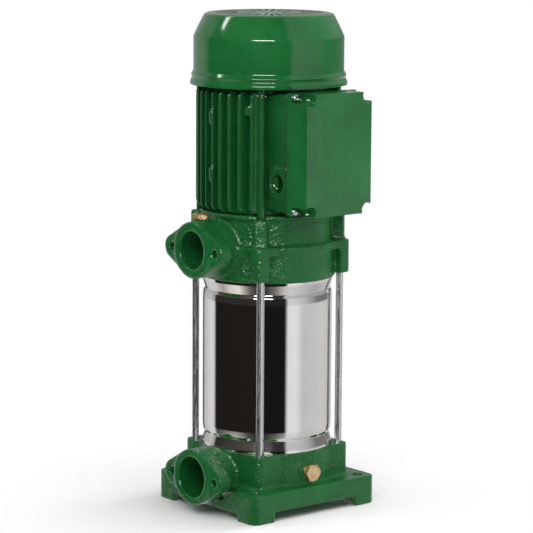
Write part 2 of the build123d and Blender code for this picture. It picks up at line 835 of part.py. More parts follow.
# Lower end shield with the lower bearing seat
with BuildPart() as lower_end_shield:
    with BuildSketch(Plane.XY.offset(head_top - shield_rim_t)):
        Circle(shield_rim_r)
    extrude(amount=shield_rim_t)
    with BuildSketch(Plane.XY.offset(head_top)):
        Circle(stator_r)
    extrude(amount=shield_t)
    with BuildSketch(Plane.XY.offset(head_top)):
        Circle(bearing_r + 5)
    extrude(amount=lower_bearing_top - head_top)
    with BuildSketch(Plane.XY.offset(head_top - shield_rim_t)):
        Circle(rotor_seat_r)
    extrude(amount=lower_bearing_top, mode=Mode.SUBTRACT)
    with BuildSketch(Plane.XY.offset(lower_bearing_z)):
        Circle(bearing_r)
    extrude(amount=bearing_w, mode=Mode.SUBTRACT)
write(lower_end_shield.part, "lower_end_shield")

# Upper end shield: bearing seat, four bolt ears and four bent lugs that carry the fan cover
lug_top = fan_z - 4
with BuildPart() as upper_end_shield:
    with BuildSketch(Plane.XY.offset(frame_top)):
        add(shield_plan())
    extrude(amount=shield_t)
    with BuildSketch(Plane.XY.offset(shield_top)):
        with PolarLocations((stator_r + cover_in_r) / 2, 4):
            Rectangle(cover_in_r - stator_r + 2, lug_width)
        Circle(cover_in_r, mode=Mode.INTERSECT)
    extrude(amount=shield_t)
    with BuildSketch(Plane.XY.offset(shield_top)):
        with PolarLocations(cover_in_r, 4):
            Rectangle(2 * lug_depth, lug_width)
        Circle(cover_in_r, mode=Mode.INTERSECT)
    extrude(amount=lug_top - shield_top)
    with BuildSketch(Plane.XY.offset(frame_top - shield_rim_t)):
        Circle(stator_r)
    extrude(amount=shield_rim_t)
    with BuildSketch(Plane.XY.offset(upper_bearing_z)):
        Circle(bearing_r + 5)
    extrude(amount=frame_top - upper_bearing_z)
    with BuildSketch(Plane.XY.offset(upper_bearing_z)):
        Circle(bearing_r)
    extrude(amount=bearing_w + wave_t, mode=Mode.SUBTRACT)
    with BuildSketch(Plane.XY.offset(upper_bearing_z)):
        Circle(seat_r)
    extrude(amount=shield_top - upper_bearing_z, mode=Mode.SUBTRACT)
    with BuildSketch(Plane.XY.offset(frame_top)):
        with Locations(corners(rib_xy, rib_xy)):
            Circle(through_bolt_r + thread_gap)
    extrude(amount=shield_t, mode=Mode.SUBTRACT)
write(upper_end_shield.part, "upper_end_shield")

# Long motor bolts, from the upper shield down into the posts of the head
with BuildPart() as motor_bolts:
    bolt_bottom = band_top + 8
    with BuildSketch(Plane.XY.offset(bolt_bottom)):
        with Locations(corners(rib_xy, rib_xy)):
            Circle(through_bolt_r)
    extrude(amount=shield_top - bolt_bottom)
    with BuildSketch(Plane.XY.offset(shield_top)):
        with Locations(corners(rib_xy, rib_xy)):
            RegularPolygon(bolt_head_r, 6)
    extrude(amount=bolt_head_t)
write(motor_bolts.part, "motor_bolts")


def bearing(prefix, bottom):
    """Deep-groove ball bearing: inner ring, outer ring, and the balls in their cage."""
    middle = bottom + bearing_w / 2
    groove_r = ball_r + ball_gap
    with BuildPart() as inner_ring:
        with BuildSketch(Plane.XZ):
            with Locations(((seat_r + seat_r + race_wall) / 2, middle)):
                Rectangle(race_wall, bearing_w)
            with Locations((ball_circle_r, middle)):
                Circle(groove_r, mode=Mode.SUBTRACT)
        revolve(axis=Axis.Z)
    write(inner_ring.part, prefix + "_inner_ring")
    with BuildPart() as outer_ring:
        with BuildSketch(Plane.XZ):
            with Locations((bearing_r - race_wall / 2, middle)):
                Rectangle(race_wall, bearing_w)
            with Locations((ball_circle_r, middle)):
                Circle(groove_r, mode=Mode.SUBTRACT)
        revolve(axis=Axis.Z)
    write(outer_ring.part, prefix + "_outer_ring")
    with BuildPart() as balls:
        with BuildSketch(Plane.XY.offset(middle - 1.5)):
            Circle(ball_circle_r + 1.2)
            Circle(ball_circle_r - 1.2, mode=Mode.SUBTRACT)
        extrude(amount=3)
        with Locations((0, 0, middle)):
            with PolarLocations(ball_circle_r, ball_count):
                Sphere(ball_r)
    write(balls.part, prefix + "_balls")


bearing("lower_bearing", lower_bearing_z)
bearing("upper_bearing", upper_bearing_z)
write(tube(bearing_r - 0.2, bearing_r - race_wall, upper_bearing_top, upper_bearing_top + wave_t),
      "wave_washer")

# Cooling fan
with BuildPart() as fan:
    with BuildSketch(Plane.XY.offset(fan_z)):
        Circle(fan_r)
    extrude(amount=blade_t)
    with BuildSketch(Plane.XY.offset(fan_z)):
        Circle(fan_hub_r)
    extrude(amount=fan_hub_h)
    with BuildSketch(Plane.XY.offset(fan_z)):
        with PolarLocations((fan_r + fan_hub_r) / 2, blade_count):
            Rectangle(fan_r - fan_hub_r, blade_t)
    extrude(amount=blade_h)
    with BuildSketch(Plane.XY.offset(fan_z)):
        Circle(shaft_r)
    extrude(amount=blade_h, mode=Mode.SUBTRACT)
write(fan.part, "fan")

# Pressed fan cover with two rings of radial slots in the top
with BuildPart() as fan_cover:
    with BuildSketch(Plane.XZ):
        with BuildLine():
            outside = [
                (cover_flat_r, cover_top),
                (cover_flat_r + 2.8, cover_top - 2.1),
                (cover_r - 2, cover_top - 23.8),
                (cover_r, cover_top - 31),
                (cover_r, cover_bottom + 14.6),
                (cover_rim_r - 0.8, cover_bottom + 11.3),
                (cover_rim_r - 2.1, cover_bottom + 7.5),
                (cover_rim_r, cover_bottom + 2.6),
                (cover_rim_r, cover_bottom),
            ]
            inside = [(r - cover_wall, min(z, cover_top - cover_wall)) for r, z in reversed(outside)]
            Polyline((0, cover_top), *outside, *inside, (0, cover_top - cover_wall), close=True)
        make_face()
    revolve(axis=Axis.Z)
    with BuildSketch(Plane.XY.offset(cover_top - 2 * cover_wall)):
        for slot_in, slot_out, slot_count in grille_rings:
            with PolarLocations((slot_in + slot_out) / 2, slot_count):
                Rectangle(slot_out - slot_in, grille_slot)
    extrude(amount=3 * cover_wall, mode=Mode.SUBTRACT)
write(fan_cover.part, "fan_cover")


def lid_body(shrink):
    """Outer form of the terminal box cover, or its cavity when shrunk by the skin."""
    with BuildPart() as body:
        with BuildSketch(Plane.YZ.offset(lid_rim_x)):
            with Locations((0, box_mid_z)):
                Rectangle(lid_y - 2 * shrink, lid_z - 2 * shrink)
        extrude(amount=lid_side - shrink / 2)
        with BuildSketch(Plane.YZ.offset(lid_edge_x - shrink / 2)):
            with Locations((0, box_mid_z)):
                Rectangle(lid_y - 2 * shrink, lid_z - 2 * shrink)
        with BuildSketch(Plane.YZ.offset(lid_face_x - shrink)):
            with Locations((0, box_mid_z)):
                Rectangle(face_y - shrink, face_z - shrink)
        loft()
        if shrink:
            with BuildSketch(Plane.YZ.offset(lid_rim_x)):
                with Locations((0, box_mid_z)):
                    with Locations(corners(screw_y, screw_z)):
                        Circle(notch_r + shrink)
            extrude(amount=lid_side + lid_bevel, mode=Mode.SUBTRACT)
    return body.part


# Terminal box cover: bevelled lid with a notch at each corner for its screws
with BuildPart() as terminal_box_cover:
    add(lid_body(0))
    add(lid_body(lid_skin), mode=Mode.SUBTRACT)
    with BuildSketch(Plane.YZ.offset(screw_seat_x)):
        with Locations((0, box_mid_z)):
            with Locations(corners(screw_y, screw_z)):
                Circle(notch_r)
    extrude(amount=lid_side, mode=Mode.SUBTRACT)
    with BuildSketch(Plane.YZ.offset(lid_rim_x)):
        with Locations((0, box_mid_z)):
            with Locations(corners(screw_y, screw_z)):
                Circle(screw_r + thread_gap)
    extrude(amount=pad_t, mode=Mode.SUBTRACT)
write(terminal_box_cover.part, "terminal_box_cover")

with BuildPart() as terminal_box_gasket:
    with BuildSketch(Plane.YZ.offset(box_rim)):
        with Locations((0, box_mid_z)):
            RectangleRounded(box_y, box_z, box_corner)
            Rectangle(box_y - 4 * box_wall, box_z - 2 * box_wall, mode=Mode.SUBTRACT)
            with Locations(corners(screw_y, screw_z)):
                Circle(screw_r + thread_gap, mode=Mode.SUBTRACT)
    extrude(amount=box_gasket_t)
write(terminal_box_gasket.part, "terminal_box_gasket")

with BuildPart() as cover_screws:
    screw_tip_x = box_rim - screw_bite
    with BuildSketch(Plane.YZ.offset(screw_tip_x)):
        with Locations((0, box_mid_z)):
            with Locations(corners(screw_y, screw_z)):
                Circle(screw_r)
    extrude(amount=screw_seat_x - screw_tip_x)
    with BuildSketch(Plane.YZ.offset(screw_seat_x)):
        with Locations((0, box_mid_z)):
            with Locations(corners(screw_y, screw_z)):
                Circle(screw_head_r)
    extrude(amount=screw_head_t)
write(cover_screws.part, "cover_screws")

# Terminal board with its studs and nuts
board_y = 46.0
board_z = 62.0
board_t = 6.0
stud_grid_y = 15.0
stud_grid_z = 30.0
with BuildPart() as terminal_board:
    with BuildSketch(Plane.YZ.offset(box_floor)):
        with Locations((0, box_mid_z)):
            RectangleRounded(board_y, board_z, 3)
    extrude(amount=board_t)
write(terminal_board.part, "terminal_board")

with BuildPart() as terminal_studs:
    board_face_x = box_floor + board_t
    with BuildSketch(Plane.YZ.offset(board_face_x)):
        with Locations((0, box_mid_z)):
            with GridLocations(stud_grid_y, stud_grid_z, 3, 2):
                RegularPolygon(4, 6)
    extrude(amount=3)
    with BuildSketch(Plane.YZ.offset(board_face_x + 3)):
        with Locations((0, box_mid_z)):
            with GridLocations(stud_grid_y, stud_grid_z, 3, 2):
                Circle(2)
    extrude(amount=9)
write(terminal_studs.part, "terminal_studs")


def plug(name, seat, place, head_t):
    """Hexagon plug and its flat washer, standing on the plane of the seat."""
    with BuildPart() as washer:
        with BuildSketch(seat):
            with Locations(place):
                Circle(plug_washer_r)
                Circle(plug_r + thread_gap, mode=Mode.SUBTRACT)
        extrude(amount=plug_washer_t)
    write(washer.part, name + "_washer")
    with BuildPart() as body:
        with BuildSketch(seat.offset(plug_washer_t)):
            with Locations(place):
                RegularPolygon(plug_af / 2, 6, major_radius=False)
        extrude(amount=head_t)
        with BuildSketch(seat.offset(plug_washer_t)):
            with Locations(place):
                Circle(plug_r)
        extrude(amount=-plug_shank)
    write(body.part, name)


plug("priming_plug", Plane.XY.offset(priming_seat), (0, priming_y), priming_head_t)
plug("drain_plug", Plane.YZ.offset(drain_seat), (0, drain_z), drain_head_t)
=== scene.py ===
# %% [markdown]
# A vertical multistage pump, dressed for the camera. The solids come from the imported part, and nothing here
# moves or resizes them. Where a plain solid would look too sharp or too bare, a finer mesh takes its place.
# %% Load the frame
import json
import math
import bpy
import bmesh
from mathutils import Matrix, Vector, noise as sand


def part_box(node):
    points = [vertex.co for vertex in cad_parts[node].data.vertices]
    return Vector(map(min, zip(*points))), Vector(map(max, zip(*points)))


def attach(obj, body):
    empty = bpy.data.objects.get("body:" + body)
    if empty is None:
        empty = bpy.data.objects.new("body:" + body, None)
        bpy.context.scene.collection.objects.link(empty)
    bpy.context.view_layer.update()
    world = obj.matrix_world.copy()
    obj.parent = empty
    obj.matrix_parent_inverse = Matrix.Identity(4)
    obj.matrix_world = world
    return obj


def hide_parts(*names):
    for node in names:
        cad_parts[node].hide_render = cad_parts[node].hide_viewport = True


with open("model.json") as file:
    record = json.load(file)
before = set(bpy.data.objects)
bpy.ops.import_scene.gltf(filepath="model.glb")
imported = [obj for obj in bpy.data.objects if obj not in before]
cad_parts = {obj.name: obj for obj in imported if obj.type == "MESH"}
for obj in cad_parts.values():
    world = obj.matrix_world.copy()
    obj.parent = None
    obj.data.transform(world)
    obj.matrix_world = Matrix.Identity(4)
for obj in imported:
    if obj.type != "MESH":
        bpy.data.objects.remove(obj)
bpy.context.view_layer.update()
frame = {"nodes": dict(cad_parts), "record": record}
nodes = frame["nodes"]
print("solids loaded:", len(nodes))

# %% [markdown]
# The photograph was taken with a long lens from a little above the pump. Its place was worked out by fitting
# the tie rods, the base and the rims to what the picture shows, so the numbers stand as they came out.
# %% Camera
LENS_MM = 170.36
CAMERA_AT = (2.149669, -1.771034, 0.706624)
CAMERA_TURN = (1.4142374, -0.0060339, 0.8830419)
eye = bpy.data.cameras.new("photo_camera")
eye.lens = LENS_MM
eye.sensor_width = 36.0
eye.clip_end = 30.0
eye_object = bpy.data.objects.new("photo_camera", eye)
bpy.context.scene.collection.objects.link(eye_object)
eye_object.location = CAMERA_AT
eye_object.rotation_euler = CAMERA_TURN
bpy.context.scene.camera = eye_object
bpy.context.scene.view_settings.view_transform = "Standard"
print("camera set, lens", eye.lens)

# %% [markdown]
# A small kit of helpers keeps the later cells short. Sizes are given in millimetres and turned into metres
# once, and every finished mesh is left at the origin, like the solids it stands beside.
# %% Helpers for meshes
MM = 0.001
MERGE = 0.000002
MERGE_SOLID = 0.00001


def put(name, mesh):
    """Make an object from a mesh and link it at the origin."""
    piece = bpy.data.objects.new(name, mesh)
    bpy.context.scene.collection.objects.link(piece)
    return piece


def from_bmesh(name, bm, crease=35.0):
    """Finish a bmesh: merge doubles, turn the faces outwards, shade it smooth up to a crease angle."""
    bmesh.ops.remove_doubles(bm, verts=bm.verts, dist=MERGE)
    bmesh.ops.recalc_face_normals(bm, faces=bm.faces)
    mesh = bpy.data.meshes.new(name)
    bm.to_mesh(mesh)
    bm.free()
    mesh.shade_smooth()
    mesh.set_sharp_from_angle(angle=math.radians(crease))
    return put(name, mesh)


def copy_of_solid(node):
    """A bmesh copy of a solid, whose loose triangles are merged into one skin."""
    bm = bmesh.new()
    bm.from_mesh(nodes[node].data)
    bmesh.ops.remove_doubles(bm, verts=bm.verts, dist=MERGE_SOLID)
    return bm


def rounded(points, steps):
    """Turn a list of (r, z, radius) corners into a profile with each corner rounded by its radius."""
    profile = []
    count = len(points)
    for i, (x, y, radius) in enumerate(points):
        here = Vector((x, y))
        before = Vector(points[i - 1][:2]) - here
        after = Vector(points[(i + 1) % count][:2]) - here
        if radius <= 0 or before.length < 1e-6 or after.length < 1e-6:
            profile.append((x, y))
            continue
        angle = before.angle(after)
        reach = radius / math.tan(angle / 2)
        reach = min(reach, before.length * 0.49, after.length * 0.49)
        first = here + before.normalized() * reach
        last = here + after.normalized() * reach
        for step in range(steps + 1):
            t = step / steps
            p = first.lerp(here, t).lerp(here.lerp(last, t), t)
            profile.append((p.x, p.y))
    return profile


def lathe(name, profile, turns, crease=35.0):
    """Spin a closed (r, z) profile in millimetres round the vertical axis."""
    bm = bmesh.new()
    rings = []
    for r, z in profile:
        if r < 0.001:
            rings.append([bm.verts.new((0.0, 0.0, z * MM))])
            continue
        ring = []
        for k in range(turns):
            a = 2 * math.pi * k / turns
            ring.append(bm.verts.new((r * math.cos(a) * MM, r * math.sin(a) * MM, z * MM)))
        rings.append(ring)
    for i in range(len(rings)):
        a, b = rings[i], rings[(i + 1) % len(rings)]
        if len(a) == 1 and len(b) == 1:
            continue
        for k in range(turns):
            quad = [a[k % len(a)], a[(k + 1) % len(a)], b[(k + 1) % len(b)], b[k % len(b)]]
            unique = []
            for v in quad:
                if v not in unique:
                    unique.append(v)
            bm.faces.new(unique)
    return from_bmesh(name, bm, crease)


def plain_mesh(piece, name):
    """Apply every modifier by reading the evaluated mesh, and return a new clean object."""
    bpy.context.view_layer.update()
    graph = bpy.context.evaluated_depsgraph_get()
    mesh = bpy.data.meshes.new_from_object(piece.evaluated_get(graph))
    mesh.name = name
    old = piece.data
    bpy.data.objects.remove(piece)
    if old.users == 0 and isinstance(old, bpy.types.Mesh):
        bpy.data.meshes.remove(old)
    return put(name, mesh)


print("mesh helpers ready")

# %% [markdown]
# Materials, the world and Geometry Nodes are all node trees, so one helper adds a node to any of them. A
# Geometry Nodes tree gets named sizes as its inputs. They are set on the modifier by the identifier of the
# socket, and the result is read back as a plain mesh.
# %% Helpers for node trees


def add(tree, kind, values=None, **settings):
    """Add a node, set its fields, and fill its inputs with numbers or with links."""
    made = tree.nodes.new(kind)
    for field, value in settings.items():
        setattr(made, field, value)
    for key, value in (values or {}).items():
        if isinstance(value, bpy.types.NodeSocket):
            tree.links.new(value, made.inputs[key])
        else:
            made.inputs[key].default_value = value
    return made


def sum_of(tree, operation, first, second):
    """One step of arithmetic inside a tree."""
    return add(tree, "ShaderNodeMath", {0: first, 1: second}, operation=operation).outputs[0]


def new_tree(name, sizes):
    """A Geometry Nodes tree with a mesh going in, a mesh coming out and named sizes."""
    tree = bpy.data.node_groups.new(name, "GeometryNodeTree")
    tree.interface.new_socket("Geometry", in_out="INPUT", socket_type="NodeSocketGeometry")
    tree.interface.new_socket("Geometry", in_out="OUTPUT", socket_type="NodeSocketGeometry")
    for label, value in sizes.items():
        kind = {int: "NodeSocketInt", float: "NodeSocketFloat", tuple: "NodeSocketVector"}[type(value)]
        tree.interface.new_socket(label, in_out="INPUT", socket_type=kind)
    return tree, tree.nodes.new("NodeGroupInput"), tree.nodes.new("NodeGroupOutput")


def finish_tree(tree, outlet, geometry, finish):
    """End a tree with Realize Instances and Set Material."""
    real = add(tree, "GeometryNodeRealizeInstances", {"Geometry": geometry})
    painted = add(tree, "GeometryNodeSetMaterial", {"Geometry": real.outputs[0], "Material": finish})
    tree.links.new(painted.outputs[0], outlet.inputs[0])


def grow(draft, name, tree, sizes, crease=35.0):
    """Run a tree on a draft object and keep the plain mesh that comes out of it."""
    maker = draft.modifiers.new("maker", "NODES")
    maker.node_group = tree
    for socket in tree.interface.items_tree:
        if socket.in_out == "INPUT" and socket.name in sizes:
            maker[socket.identifier] = sizes[socket.name]
    piece = plain_mesh(draft, name)
    piece.data.shade_smooth()
    piece.data.set_sharp_from_angle(angle=math.radians(crease))
    return piece


print("tree helpers ready")

# %% [markdown]
# Each finish is a node material. A few helpers lay out the nodes that all of them share: a noise in object
# coordinates, a range, a colour ramp and a bump. Object coordinates stay still on the piece, so the pattern
# doesn't slide when the camera moves.
# %% Helpers for materials


def new_finish(name, colour, roughness, metallic=0.0):
    """A new material with its Principled shader."""
    finish = bpy.data.materials.new(name)
    finish.use_nodes = True
    shader = finish.node_tree.nodes["Principled BSDF"]
    shader.inputs["Base Color"].default_value = (*colour, 1)
    shader.inputs["Roughness"].default_value = roughness
    shader.inputs["Metallic"].default_value = metallic
    return finish, finish.node_tree, shader


def noise(tree, scale, detail=4.0, roughness=0.55, stretch=None):
    """Noise in object space, with the scale given per metre. Stretch scales the axes."""
    place = add(tree, "ShaderNodeTexCoord").outputs["Object"]
    if stretch:
        place = add(tree, "ShaderNodeMapping", {"Vector": place, "Scale": stretch}).outputs["Vector"]
    texture = add(tree, "ShaderNodeTexNoise", {"Vector": place, "Scale": scale, "Detail": detail})
    texture.inputs["Roughness"].default_value = roughness
    return texture.outputs["Fac"]


def span(tree, value, low, high):
    """Map the middle of a 0 to 1 pattern to a range."""
    ends = {"From Min": 0.3, "From Max": 0.7, "To Min": low, "To Max": high, "Value": value}
    return add(tree, "ShaderNodeMapRange", ends).outputs["Result"]


def blend_colours(tree, value, dark, light):
    """A ramp between two colours, driven by a pattern."""
    ramp = add(tree, "ShaderNodeValToRGB", {"Fac": value})
    ramp.color_ramp.elements[0].position = 0.3
    ramp.color_ramp.elements[0].color = (*dark, 1)
    ramp.color_ramp.elements[1].position = 0.7
    ramp.color_ramp.elements[1].color = (*light, 1)
    return ramp.outputs["Color"]


def bump(tree, value, depth_mm, before=None):
    """A bump of a real depth in millimetres, laid over an earlier one if there is one."""
    node = add(tree, "ShaderNodeBump", {"Height": value, "Distance": depth_mm * MM, "Strength": 1.0})
    if before:
        tree.links.new(before, node.inputs["Normal"])
    return node.outputs["Normal"]


def scaled(colour, factor):
    """A colour made darker by a factor."""
    return tuple(c * factor for c in colour)


finishes = {}
print("material helpers ready")

# %% [markdown]
# The whole pump is sprayed with one green gloss paint. On the sand-cast base and head it flows over a grainy
# skin, so the bump has two sizes: lumps of some millimetres and finer grains. The die-cast motor frame is
# smoother, and the pressed fan cover and the lid have only the faint waviness of sprayed paint. The frame's
# green is also made darker, which is painted shade for the deep grooves between its fins.
# %% Green paint
GREEN_DEEP = (0.0085, 0.108, 0.024)
GREEN_FRESH = (0.0125, 0.150, 0.035)
FLANGE_FACE_Y = -106.2
FULL_GRAIN_Y = -104.0
LEAST_GRAIN = 0.12


def green_paint(name, lump, grain, gloss, depth, coat):
    """Gloss green paint over metal with lumps and grains of the given depths in millimetres."""
    finish, tree, shader = new_finish(name, GREEN_FRESH, gloss)
    # depth scales both greens darker; on the frame this darkening is painted shade.
    deep, fresh = scaled(GREEN_DEEP, depth), scaled(GREEN_FRESH, depth)
    shade = blend_colours(tree, noise(tree, 22.0, 3.0), deep, fresh)
    tree.links.new(shade, shader.inputs["Base Color"])
    tree.links.new(span(tree, noise(tree, 90.0), gloss * 0.8, gloss * 1.4), shader.inputs["Roughness"])
    skin = bump(tree, noise(tree, 120.0, 3.0), lump)
    skin = bump(tree, noise(tree, 400.0, 2.0, 0.5), grain, skin)
    tree.links.new(skin, shader.inputs["Normal"])
    shader.inputs["Coat Weight"].default_value = coat
    shader.inputs["Coat Roughness"].default_value = 0.05
    finishes[name] = finish
    return tree, shader


casting_tree, casting_shader = green_paint("casting_green", 1.00, 1.15, 0.11, 0.90, 0.0)
casting_shader.inputs["Specular IOR Level"].default_value = 0.40
# Painted shade: the frame's green is scaled down to 0.72 to stand for the shade in the deep grooves between
# its fins.
green_paint("frame_green", 0.30, 0.25, 0.17, 0.72, 0.15)
green_paint("cover_green", 0.03, 0.004, 0.11, 1.0, 0.25)

# The port flanges are machined flat, so the grain fades out on their front faces.
place = add(casting_tree, "ShaderNodeTexCoord")
axes = add(casting_tree, "ShaderNodeSeparateXYZ", {"Vector": place.outputs["Object"]})
grainy = add(casting_tree, "ShaderNodeMapRange", {
    "Value": axes.outputs["Y"], "From Min": FLANGE_FACE_Y * MM, "From Max": FULL_GRAIN_Y * MM,
    "To Min": LEAST_GRAIN, "To Max": 1.0})
for layer in casting_tree.nodes:
    if layer.bl_idname == "ShaderNodeBump":
        casting_tree.links.new(grainy.outputs["Result"], layer.inputs["Strength"])
print("paints:", list(finishes))

# %% [markdown]
# The sleeve is drawn stainless steel, polished until it mirrors the room. Fine marks run round it from the
# polishing wheel, so the noise is squeezed along Z. The rods and small steel parts are bright but less even.
# %% Steel finishes


def steel(name, colour, roughness, marks_mm, stretch, scale=300.0):
    """Bare steel with marks that run one way."""
    finish, tree, shader = new_finish(name, colour, roughness, 1.0)
    lines = noise(tree, scale, 3.0, 0.6, stretch)
    tree.links.new(span(tree, lines, roughness * 0.7, roughness * 1.5), shader.inputs["Roughness"])
    tree.links.new(bump(tree, lines, marks_mm), shader.inputs["Normal"])
    tone = noise(tree, 25.0)
    tree.links.new(blend_colours(tree, tone, scaled(colour, 0.93), colour), shader.inputs["Base Color"])
    finishes[name] = finish


steel("polished_steel", (0.80, 0.79, 0.77), 0.05, 0.0012, (0.15, 0.15, 3.0))
steel("rod_steel", (0.74, 0.74, 0.76), 0.27, 0.002, (3.0, 3.0, 0.2))
steel("zinc_steel", (0.72, 0.74, 0.78), 0.22, 0.004, (1.0, 1.0, 1.0))
steel("stage_steel", (0.60, 0.60, 0.60), 0.28, 0.004, (0.3, 0.3, 3.0))
steel("shaft_steel", (0.62, 0.62, 0.62), 0.16, 0.002, (0.3, 0.3, 4.0))
steel("bearing_steel", (0.72, 0.72, 0.73), 0.10, 0.001, (0.5, 0.5, 2.0))
steel("lamination_steel", (0.20, 0.20, 0.21), 0.45, 0.05, (0.02, 0.02, 6.0), 260.0)
print("steels ready")

# %% [markdown]
# The two plugs are turned from brass bar and left bare. They have dulled a little, which shows as a warm,
# uneven tone. The bottom bush is bronze, and the terminal studs are brass too.
# %% Brass and bronze


def brass(name, bright, tarnished, roughness):
    """Turned copper alloy with a little tarnish."""
    finish, tree, shader = new_finish(name, bright, roughness, 1.0)
    tone = noise(tree, 140.0, 4.0)
    tree.links.new(blend_colours(tree, tone, tarnished, bright), shader.inputs["Base Color"])
    shine = span(tree, noise(tree, 400.0), roughness * 0.7, roughness * 1.6)
    tree.links.new(shine, shader.inputs["Roughness"])
    tree.links.new(bump(tree, noise(tree, 700.0, 3.0), 0.02), shader.inputs["Normal"])
    finishes[name] = finish


brass("plug_brass", (0.92, 0.70, 0.42), (0.80, 0.54, 0.26), 0.30)
brass("bush_bronze", (0.62, 0.40, 0.18), (0.45, 0.26, 0.10), 0.30)
brass("stud_brass", (0.78, 0.56, 0.26), (0.60, 0.38, 0.14), 0.25)
print("copper alloys ready")

# %% [markdown]
# Rubber, plastic, ceramic and carbon are not metal, so their colour comes from the surface itself. The
# windings are varnished copper wire, drawn as fine bands that run round the coil heads.
# %% Other finishes


def dull(name, colour, roughness, depth_mm, scale=500.0):
    """A moulded or lapped surface with a fine texture."""
    finish, tree, shader = new_finish(name, colour, roughness)
    tone = noise(tree, 60.0)
    tree.links.new(blend_colours(tree, tone, scaled(colour, 0.8), colour), shader.inputs["Base Color"])
    tree.links.new(bump(tree, noise(tree, scale, 3.0), depth_mm), shader.inputs["Normal"])
    shine = span(tree, tone, roughness * 0.85, min(1.0, roughness * 1.15))
    tree.links.new(shine, shader.inputs["Roughness"])
    finishes[name] = finish
    return tree, shader


dull("gasket_rubber", (0.020, 0.020, 0.021), 0.62, 0.03)
dull("seal_ceramic", (0.80, 0.78, 0.72), 0.20, 0.002)
dull("seal_carbon", (0.030, 0.030, 0.032), 0.42, 0.005)
dull("fan_plastic", (0.018, 0.018, 0.019), 0.48, 0.02)
dull("board_plastic", (0.12, 0.045, 0.022), 0.42, 0.01)
winding_tree, winding_shader = dull("winding_copper", (0.42, 0.16, 0.055), 0.30, 0.02)
wire = noise(winding_tree, 300.0, 2.0, 0.5, (0.1, 0.1, 5.0))
winding_tree.links.new(bump(winding_tree, wire, 0.25), winding_shader.inputs["Normal"])
print("finishes:", len(finishes))

# %% [markdown]
# Every solid of the part names the finish it is made with. It takes that material here, also the ones that
# lie hidden inside or are replaced by a finer mesh later, so that a pump taken apart looks right as well.
# %% Give every solid its finish
for part in frame["record"]["subparts"]:
    solid = nodes[part["node"]]
    solid.data.materials.clear()
    solid.data.materials.append(finishes[part["material_slot"]])

# %% [markdown]
# The studio. In the photograph the polished sleeve works as a mirror and shows how the pump was lit: a dark
# room ahead and to the left of it, white screens on the right and far left, and a pale table top that ends
# not far away. The world shader draws that room by compass direction. Four ramps round the compass hold the
# ground close by, the table, the walls and the ceiling, and the height of a direction picks between them.
# The camera itself sees plain white behind the pump.
# %% World
room = bpy.data.worlds.new("studio")
bpy.context.scene.world = room
room.use_nodes = True
sky = room.node_tree
sky.nodes.clear()
direction = add(sky, "ShaderNodeTexCoord")
parts = add(sky, "ShaderNodeSeparateXYZ", {"Vector": direction.outputs["Generated"]})
bearing = sum_of(sky, "ARCTAN2", parts.outputs["Y"], parts.outputs["X"])
around = add(sky, "ShaderNodeMapRange", {"Value": bearing, "From Min": -math.pi, "From Max": math.pi})


def compass(stops):
    """A ramp round the compass from (degrees, brightness, warmth) stops."""
    ramp = add(sky, "ShaderNodeValToRGB", {"Fac": around.outputs["Result"]})
    elements = ramp.color_ramp.elements
    elements[0].position = 0.0
    elements[1].position = 1.0
    for i in range(len(stops) - 2):
        elements.new(0.5)
    for element, (degrees, bright, warm) in zip(elements, stops):
        element.position = (degrees + 180.0) / 360.0
        element.color = (bright * (1 + warm), bright, bright * (1 - warm), 1)
    return ramp.outputs["Color"]


def over(lower, upper, start_degrees, end_degrees):
    """Pass from one ramp to another between two heights above the horizon."""
    height = add(sky, "ShaderNodeMapRange", {
        "Value": parts.outputs["Z"], "From Min": math.sin(math.radians(start_degrees)),
        "From Max": math.sin(math.radians(end_degrees))}, interpolation_type="SMOOTHSTEP")
    mix = add(sky, "ShaderNodeMix", {0: height.outputs["Result"], 6: lower, 7: upper}, data_type="RGBA")
    return mix.outputs[2]


ground = compass([
    (-180, 0.70, 0.0), (-150, 0.66, 0.0), (-135, 0.40, 0.10), (-118, 0.75, 0.05), (-98, 0.90, 0.03),
    (-88, 0.50, 0.08), (-75, 0.14, 0.10), (-60, 0.04, 0.0), (-41, 0.06, 0.0), (-25, 0.18, 0.06),
    (-14, 0.40, 0.04), (-4, 0.66, 0.0), (10, 0.72, 0.0), (60, 0.50, 0.0), (180, 0.70, 0.0),
])
table = compass([
    (-180, 0.62, 0.0), (-160, 0.82, 0.0), (-149, 0.78, 0.0), (-143, 0.014, 0.12), (-60, 0.014, 0.15),
    (-45, 0.010, 0.0), (-7.5, 0.010, 0.0), (-1.5, 0.92, 0.0), (14, 0.92, 0.0), (28, 0.66, 0.0),
    (74, 0.72, 0.0), (105, 0.64, 0.0), (180, 0.62, 0.0),
])
walls = compass([
    (-180, 0.50, 0.0), (-160, 0.60, 0.0), (-149, 0.45, 0.0), (-143, 0.03, 0.10), (-60, 0.03, 0.12),
    (-45, 0.02, 0.0), (-7.5, 0.02, 0.0), (-1.5, 0.78, 0.0), (24, 0.66, 0.0), (42, 0.45, 0.0),
    (60, 0.22, 0.0), (110, 0.20, 0.0), (150, 0.42, 0.0), (180, 0.50, 0.0),
])
ceiling = compass([
    (-180, 0.50, 0.0), (-149, 0.45, 0.0), (-143, 0.07, 0.12), (-60, 0.09, 0.14), (-35, 0.04, 0.0),
    (-7.5, 0.04, 0.0), (-1.5, 0.60, 0.0), (60, 0.45, 0.0), (180, 0.50, 0.0),
])
surroundings = over(over(ground, table, -28.0, -16.0), walls, -9.5, -5.0)
surroundings = over(surroundings, ceiling, 4.0, 20.0)
path = add(sky, "ShaderNodeLightPath")
seen = add(sky, "ShaderNodeMix", {0: path.outputs["Is Camera Ray"], 6: surroundings, 7: (1, 1, 1, 1)},
           data_type="RGBA")
glow = add(sky, "ShaderNodeBackground", {"Color": seen.outputs[2]})
add(sky, "ShaderNodeOutputWorld", {"Surface": glow.outputs["Background"]})
print("world ready")

